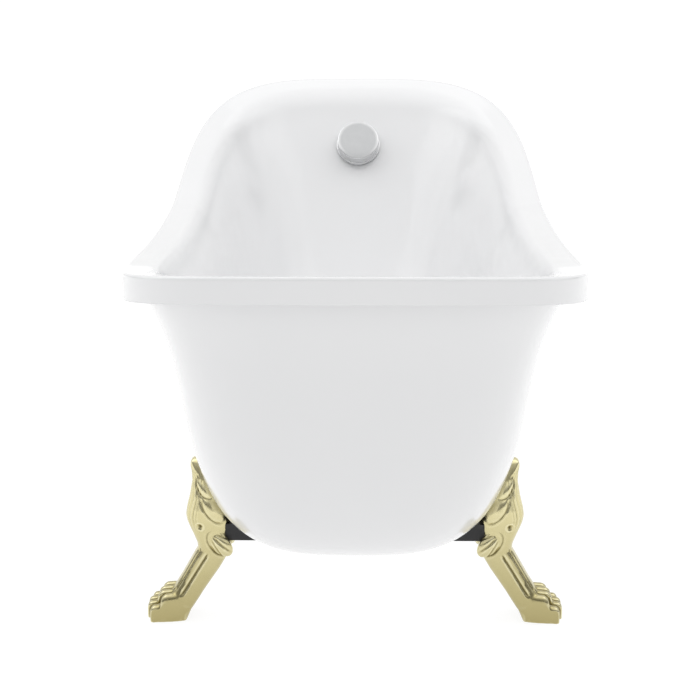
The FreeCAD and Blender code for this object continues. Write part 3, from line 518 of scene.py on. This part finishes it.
FOOT_FACE = 194.025
LEGS = {"front": -409.9875, "rear": 348.0}
TOE_STEP = 100
REAR_TOE_SHARE = 0.32
VOXEL = 1.3
THIGH_POWER = 2.3
SHIN_POWER = 3.0
PAW_POWER = 4.0
TOE_POWER = 3.2
SOLE = 0.3
PAW_SIDE = -27
SHIN_START = Vector((19.6, 0, 108.8))
SHIN_ALONG = Vector((0.519, 0, -0.854))
SHIN_FRONT = Vector((0.854, 0, 0.519))
TOES = ((-19.5, 0), (-4, 5.5), (11.5, 5.5), (27, 1.5))
PAW_MIDDLE = 3.75
TOE_START = 57
TOE_RUN = 58
TOE_GROWTH = 1.6
TOE_SPLITS = (-15.5, 0, 15.5)
PAD_REACH = 88
PAD_RECESS = 20.6
PAD_TOP = 4.1
KNEE_FAN = (26, 151)
KNEE_RAYS = (0.42, 0.78, 1.1)
SHIN_LINES = (0.66, 1.27)
STREAKS = (7, 11.5, 16.5)
EYE = (36, 157)
SHIN_DEPTH = 2.8
SPLIT_DEPTH = 2.6
RIB_DEPTH = 0.8
STREAK_DEPTH = 0.8
RAY_DEPTH = 1.7
CREASE_DEPTH = 1.2
LOBE_SWELL = 2.6
EYE_DEPTH = 3.4
EYE_RING = 0.9
RELIEF_PASSES = 5
RELIEF_SPAN = 0.9
BAR_TOP = 158.4
BAR_HALF = 21
SEAT_START = 0.15
SEAT_GAP = 0.0003
LEAF_LEAN = Matrix.Rotation(math.radians(37), 4, "Y")
LOBES = ((30, 216, 8, 17), (15, 182, 11, 24), (6, 129, 17, 25))
THIGH = ((104, 41, 4, 19), (112, 42, 0, 23), (124, 43, -4, 26), (136, 47.5, -7, 28), (149, 53, -9, 30),
         (160, 57, -9, 32), (169, 58.6, -8, 33), (181, 56.8, -5, 33), (200, 52, 0, 30), (222, 48, 8, 24),
         (236, 48.5, 14, 19), (246, 50.5, 18, 15), (253, 49, 21, 12), (257, 45, 25, 8))


def oval(centre, first, second, power, count=48):
    """Closed row of places on a full oval with the given half-axes."""
    row = []
    for k in range(count):
        turn = math.tau * k / count
        c, s = math.cos(turn), math.sin(turn)
        row.append(centre + first * math.copysign(abs(c) ** (2 / power), c)
                   + second * math.copysign(abs(s) ** (2 / power), s))
    return row


def thigh(bm):
    """Leaf-shaped upper part that lies on the flank of the tub: height, front, back and half width."""
    rows = []
    for height, front, back, half in THIGH:
        centre = Vector(((front + back) / 2, 0, height))
        rows.append(oval(centre, Vector(((front - back) / 2, 0, 0)), Vector((0, half, 0)), THIGH_POWER))
    stack_rows(bm, rows, True, True)


def shin(bm):
    """Straight shin with flat sides, leaning out to the paw: travel, half depth and half width."""
    levels = ((-22, 16, 20), (-8, 21.5, 24), (15, 22.2, 23.5), (40, 21.2, 22.5), (60, 20.4, 22.5),
              (76, 20.4, 24), (92, 20, 26), (106, 18, 26), (118, 16.5, 25))
    rows = []
    for travel, depth, half in levels:
        centre = SHIN_START + SHIN_ALONG * travel
        rows.append(oval(centre, SHIN_FRONT * depth, Vector((0, half, 0)), SHIN_POWER))
    stack_rows(bm, rows, True, True)


def paw(bm):
    """Low body of the paw: reach, middle height, half height and half width."""
    levels = ((46, 40, 9, 20), (54, 32, 17, 25), (62, 21.5, 25.5, 28), (74, 19, 25, 29), (88, 17, 23, 29),
              (95, 14, 18, 28), (102, 9, 14, 27))
    rows = []
    for reach, middle, high, half in levels:
        centre = Vector((reach, PAW_MIDDLE, middle))
        rows.append(oval(centre, Vector((0, half, 0)), Vector((0, 0, high)), PAW_POWER))
    stack_rows(bm, rows, True, True)


def toe_spread(share):
    """How far the toes fan out at a share of their run."""
    return 0.88 + 0.16 * share


def toes(bm):
    """Four toes side by side, each with a knuckle, a step and a blunt claw down to the sole."""
    levels = ((57, 35, 9, 7.6), (68, 22, 23, 8), (82, 20.5, 23.8, 8.4), (92, 19.5, 23.5, 8.5),
              (97, 17.5, 21.5, 8.3), (100, 12.5, 15.5, 7.8), (104, 11.5, 15, 8.2), (110, 11, 14.8, 8.3),
              (113.5, 10, 13, 7.6), (115, 8.5, 9.5, 5.6))
    for sideways, further in TOES:
        rows = []
        for reach, middle, high, half in levels:
            share = (reach - TOE_START) / TOE_RUN
            spread = PAW_MIDDLE + (sideways - PAW_MIDDLE) * toe_spread(share)
            centre = Vector((reach + further * min(1, share * TOE_GROWTH), spread, middle))
            rows.append(oval(centre, Vector((0, half, 0)), Vector((0, 0, high)), TOE_POWER))
        stack_rows(bm, rows, True, True)


def ball_chain(bm, stops, count):
    """Tapering limb made of close-set balls along stops of place and radius."""
    spans = len(stops) - 1
    for k in range(count + 1):
        travel = spans * k / count
        index = min(int(travel), spans - 1)
        (start, start_radius), (end, end_radius) = stops[index], stops[index + 1]
        share = travel - index
        radius = start_radius + (end_radius - start_radius) * share
        bmesh.ops.create_icosphere(bm, subdivisions=3, radius=radius,
                                   matrix=Matrix.Translation(start.lerp(end, share)))


def leaf_lip(bm):
    """Raised edges of the leaf, from the tip down both sides."""
    for side in (-1, 1):
        ball_chain(bm, [(Vector((44, side * 6, 250.5)), 5.2), (Vector((41, side * 12, 240)), 4.2),
                        (Vector((36, side * 17, 227)), 3.4)], 14)
        cheek = Matrix.Translation((6, side * 23, 128)) @ LEAF_LEAN @ Matrix.Diagonal((14, 8.5, 24, 1))
        bmesh.ops.create_uvsphere(bm, u_segments=28, v_segments=20, radius=1.0, matrix=cheek)


def remeshed(bm):
    """One closed skin round all the forms in the mesh."""
    mesh = bpy.data.meshes.new("foot_forms")
    bm.to_mesh(mesh)
    bm.free()
    forms = linked("foot_forms", mesh)
    voxels = forms.modifiers.new("skin", "REMESH")
    voxels.mode = "VOXEL"
    voxels.voxel_size = VOXEL
    bpy.context.view_layer.update()
    whole = bpy.data.meshes.new_from_object(forms.evaluated_get(bpy.context.evaluated_depsgraph_get()))
    bpy.data.objects.remove(forms)
    result = bmesh.new()
    result.from_mesh(whole)
    bpy.data.meshes.remove(whole)
    bpy.data.meshes.remove(mesh)
    return result


def groove_line(distance, width):
    """Round groove, 1 deep on its line and gone a width or two beside it."""
    return math.exp(-(distance / width) ** 2)


def lobe_relief(spot):
    """Overlapping leaf lobes on the side of the leg: a swell in each and a crease along its outer edge."""
    depth = 0.0
    for x, z, short, long in LOBES:
        along = (spot.x - x) * 0.6 + (spot.z - z) * 0.8
        across = (spot.x - x) * 0.8 - (spot.z - z) * 0.6
        share = math.hypot(across / short, along / long)
        if share < 1.6:
            outer = fade(across / short, -0.5, 0.6)
            depth += CREASE_DEPTH * groove_line((share - 1) * short, 1.6) * outer
            depth -= LOBE_SWELL * max(0.0, 1 - share * share)
    return depth


def blade_streaks(spot):
    """Long fine lines down the blade of the leaf, running with its front edge."""
    for (low, low_front, _, _), (high, high_front, _, _) in zip(THIGH, THIGH[1:]):
        if low <= spot.z < high:
            front = low_front + (high_front - low_front) * (spot.z - low) / (high - low)
            lines = sum(groove_line(front - spot.x - back, 1.0) for back in STREAKS)
            return STREAK_DEPTH * lines * fade(spot.z, 152, 172) * fade(246 - spot.z, 0, 22)
    return 0.0


def knee_rays(spot):
    """Short tufts that fan out over the inner side of the knee."""
    x, z = KNEE_FAN[0] - spot.x, KNEE_FAN[1] - spot.z
    reach = math.hypot(x, z)
    turn = math.atan2(z, x)
    rays = sum(groove_line((turn - ray) * reach, 1.5) for ray in KNEE_RAYS)
    return RAY_DEPTH * rays * fade(reach, 13, 22) * fade(52 - reach, 0, 10)


def shin_grooves(spot):
    """Two lines down each side of the shin."""
    off = spot - SHIN_START
    travel = off.dot(SHIN_ALONG)
    share = fade(travel, -2, 8) * fade(84 - travel, 0, 10) * fade(spot.z, 36, 48)
    turn = math.atan2(abs(spot.y) / 22.5, off.dot(SHIN_FRONT) / 19.5)
    return SHIN_DEPTH * share * sum(groove_line((turn - line) * 21, 1.6) for line in SHIN_LINES)


def toe_splits(spot):
    """Clefts between the toes, fanning out with them."""
    share = fade(spot.x, 60, 74) * fade(56 - spot.z, 0, 8)
    if share == 0:
        return 0.0
    across = (spot.y - PAW_MIDDLE) / toe_spread((spot.x - TOE_START) / TOE_RUN)
    near = min(abs(across - line) for line in TOE_SPLITS)
    return SPLIT_DEPTH * share * groove_line(near, 1.5)


def leaf_ribs(spot, normal):
    """Fine ribs down the front of the leaf, closer together towards its tip."""
    share = fade(spot.z, 140, 160) * fade(250 - spot.z, 0, 12) * fade(normal.x, 0.1, 0.5)
    half = 10 + 24 * fade(258 - spot.z, 0, 60)
    return RIB_DEPTH * share * (0.5 + 0.5 * math.cos(math.tau * spot.y / half * 5))


def side_relief(spot, normal):
    """Eye, lobes, streaks and tufts on the two sides of the leg."""
    if abs(spot.y) <= 12 or abs(normal.y) <= 0.15:
        return 0.0
    eye = math.hypot(spot.x - EYE[0], spot.z - EYE[1])
    pit = EYE_DEPTH * groove_line(eye, 3.2) - EYE_RING * groove_line(eye - 6.5, 2.0)
    relief = lobe_relief(spot) + blade_streaks(spot) + knee_rays(spot)
    return pit + relief * fade(abs(normal.y), 0.15, 0.5)


def carving(spot, normal):
    """Depth in millimetres of the carved lines at a place on the foot."""
    lines = shin_grooves(spot) + toe_splits(spot) + leaf_ribs(spot, normal)
    return lines + side_relief(spot, normal)


def smoothed(bm, times, factor=0.5):
    """Even passes over the whole mesh."""
    for _ in range(times):
        bmesh.ops.smooth_vert(bm, verts=bm.verts, factor=factor, use_axis_x=True, use_axis_y=True,
                              use_axis_z=True)


def foot_sculpt():
    """The whole foot: forms in one skin, carved, then cut flat at the sole, the pad and the crossbar."""
    bm = bmesh.new()
    for form in (thigh, shin, paw, toes, leaf_lip):
        form(bm)
    bm = remeshed(bm)
    smoothed(bm, 3)
    bm.normal_update()
    moves = [(vert, vert.normal * -carving(vert.co, vert.normal)) for vert in bm.verts]
    for vert, move in moves:
        vert.co += move
        if vert.co.z < 50:
            vert.co.y = max(vert.co.y, PAW_SIDE)
        over_pad = math.hypot(vert.co.x - PAD_REACH, vert.co.y) < PAD_RECESS
        vert.co.z = max(vert.co.z, PAD_TOP if over_pad else SOLE)
        if vert.co.z < BAR_TOP and abs(vert.co.y) < BAR_HALF:
            vert.co.x = max(vert.co.x, 0.0)
    smoothed(bm, 1, 0.3)
    return bm


def mark_relief(bm):
    """Groove and edge shares for the finish, from how far a place lies under or over its surroundings; the
    groove share carries painted shade.
    """
    groove = bm.verts.layers.float.new("groove")
    edge = bm.verts.layers.float.new("edge")
    bm.normal_update()
    level = {vert: vert.co.copy() for vert in bm.verts}
    for _ in range(RELIEF_PASSES):
        level = {vert: sum((level[e.other_vert(vert)] for e in vert.link_edges), Vector())
                 / len(vert.link_edges) for vert in bm.verts}
    for vert in bm.verts:
        rise = (vert.co - level[vert]).dot(vert.normal) / RELIEF_SPAN
        vert[groove] = min(1.0, max(0.0, -rise))
        vert[edge] = min(1.0, max(0.0, rise))


def seat_on_skirt(bm, tree):
    """Presses the back of the leaf, now in metres, against the flank of the skirt."""
    for vert in bm.verts:
        if vert.co.z < SEAT_START:
            continue
        spot, normal, _, _ = tree.find_nearest(vert.co)
        if (vert.co - spot).dot(normal) < SEAT_GAP:
            vert.co = spot + normal * SEAT_GAP


def draw_in_toes(bm):
    """Shorter toe tips for the rear feet, which hide behind the tub from the near end."""
    for vert in bm.verts:
        vert.co.x -= REAR_TOE_SHARE * max(0.0, vert.co.x - TOE_STEP)


def claw_feet():
    """Four feet from one sculpt, mirrored to the left side and to the rear end."""
    master = foot_sculpt()
    mark_relief(master)
    shape = bpy.data.meshes.new("foot_master")
    master.to_mesh(shape)
    master.free()
    tree = evaluated_tree(skirt)
    for end, leg in LEGS.items():
        for side, name in ((1, "right"), (-1, "left")):
            bm = bmesh.new()
            bm.from_mesh(shape)
            flip = -1 if end == "rear" else 1
            if end == "rear":
                draw_in_toes(bm)
            spot = Matrix.Translation((FOOT_FACE * MM, leg * MM, 0))
            size = Matrix.Diagonal((MM, MM * flip, MM, 1))
            place = Matrix.Diagonal((side, 1, 1, 1)) @ spot @ size
            bmesh.ops.transform(bm, matrix=place, verts=bm.verts)
            if side * flip < 0:
                bmesh.ops.reverse_faces(bm, faces=bm.faces)
            seat_on_skirt(bm, tree)
            new_piece(end + "_" + name + "_claw", bm, "champagne_metal", "tub", end + "_" + name + "_foot")
    bpy.data.meshes.remove(shape)


claw_feet()


# Studio: pale floor, soft light, and the camera at the near end

FLOOR_SIZE = (120, 120, 1, 1)
BACKDROP_PLACE = (0, 12, 4)
BACKDROP_SIZE = (12, 4, 1, 1)
OVERHEAD_ANGLES = (90, 115, 140, 165)
OVERHEAD_STRENGTH = 2.6
SIDE_LIGHT_SIZE = (4.0, 5.0)
SIDE_LIGHT_POWERS = {"left": 38, "right": 26}
SIDE_LIGHT_PLACES = {"left": (-3.4, 0.3, 3.0), "right": (3.4, 0.3, 3.0)}
SKY_STRENGTH = 0.14
TUB_MIDDLE = (0, 0, 0.4)
CAMERA_PLACE = (0.014, -2.761, 1.127)
CAMERA_TILT = 16.67
CAMERA_TURN = 0.52
CAMERA_LENS = 86.83
CAMERA_SENSOR = 36.0


def flat_sheet(name, stand, material):
    """Flat sheet that a matrix sizes and sets in its place."""
    bm = bmesh.new()
    bmesh.ops.create_grid(bm, x_segments=2, y_segments=2, size=1.0)
    bmesh.ops.transform(bm, matrix=stand, verts=bm.verts)
    mesh = bpy.data.meshes.new(name)
    bm.to_mesh(mesh)
    bm.free()
    mesh.materials.append(material)
    return linked(name, mesh)


def studio_floor():
    """Wide level floor under the tub."""
    floor = flat_sheet("studio_floor", Matrix.Diagonal(FLOOR_SIZE), floor_finish())


def backdrop():
    """Bright upright sheet far behind the tub, so that the gloss of the rim has white to mirror."""
    upright = Matrix.Rotation(math.radians(90), 4, "X")
    stand = Matrix.Translation(BACKDROP_PLACE) @ upright @ Matrix.Diagonal(BACKDROP_SIZE)
    sheet = flat_sheet("backdrop", stand, backdrop_finish())


def soft_light(name):
    """Broad soft box high at one side, turned to the middle of the tub."""
    place = SIDE_LIGHT_PLACES[name]
    light = bpy.data.lights.new(name, "AREA")
    light.shape = "RECTANGLE"
    light.size, light.size_y = SIDE_LIGHT_SIZE
    light.energy = SIDE_LIGHT_POWERS[name]
    lamp = linked(name, light)
    lamp.location = place
    lamp.rotation_euler = (Vector(TUB_MIDDLE) - Vector(place)).to_track_quat("-Z", "Y").to_euler()


def overhead_light():
    """Wide, even light from straight above, the same everywhere on the floor, fading towards its edge."""
    for angle in OVERHEAD_ANGLES:
        light = bpy.data.lights.new("overhead", "SUN")
        light.energy = OVERHEAD_STRENGTH / len(OVERHEAD_ANGLES)
        light.angle = math.radians(angle)
        lamp = linked("overhead", light)


def studio_light():
    """Dim sky, overhead light and one soft box on each side."""
    world = bpy.data.worlds.new("studio")
    world.use_nodes = True
    sky = world.node_tree.nodes["Background"]
    sky.inputs["Color"].default_value = colour(1, 1, 1)
    sky.inputs["Strength"].default_value = SKY_STRENGTH
    bpy.context.scene.world = world
    overhead_light()
    for side in SIDE_LIGHT_PLACES:
        soft_light(side)


def photo_camera():
    """From the near end and above the rim, on a long lens."""
    lens = bpy.data.cameras.new("photo_camera")
    lens.sensor_width = CAMERA_SENSOR
    lens.lens = CAMERA_LENS
    camera = linked("photo_camera", lens)
    camera.location = CAMERA_PLACE
    camera.rotation_euler = (math.radians(90 - CAMERA_TILT), 0, math.radians(CAMERA_TURN))
    bpy.context.scene.camera = camera


studio_floor()
backdrop()
studio_light()
photo_camera()
bpy.context.scene.view_settings.view_transform = "Standard"
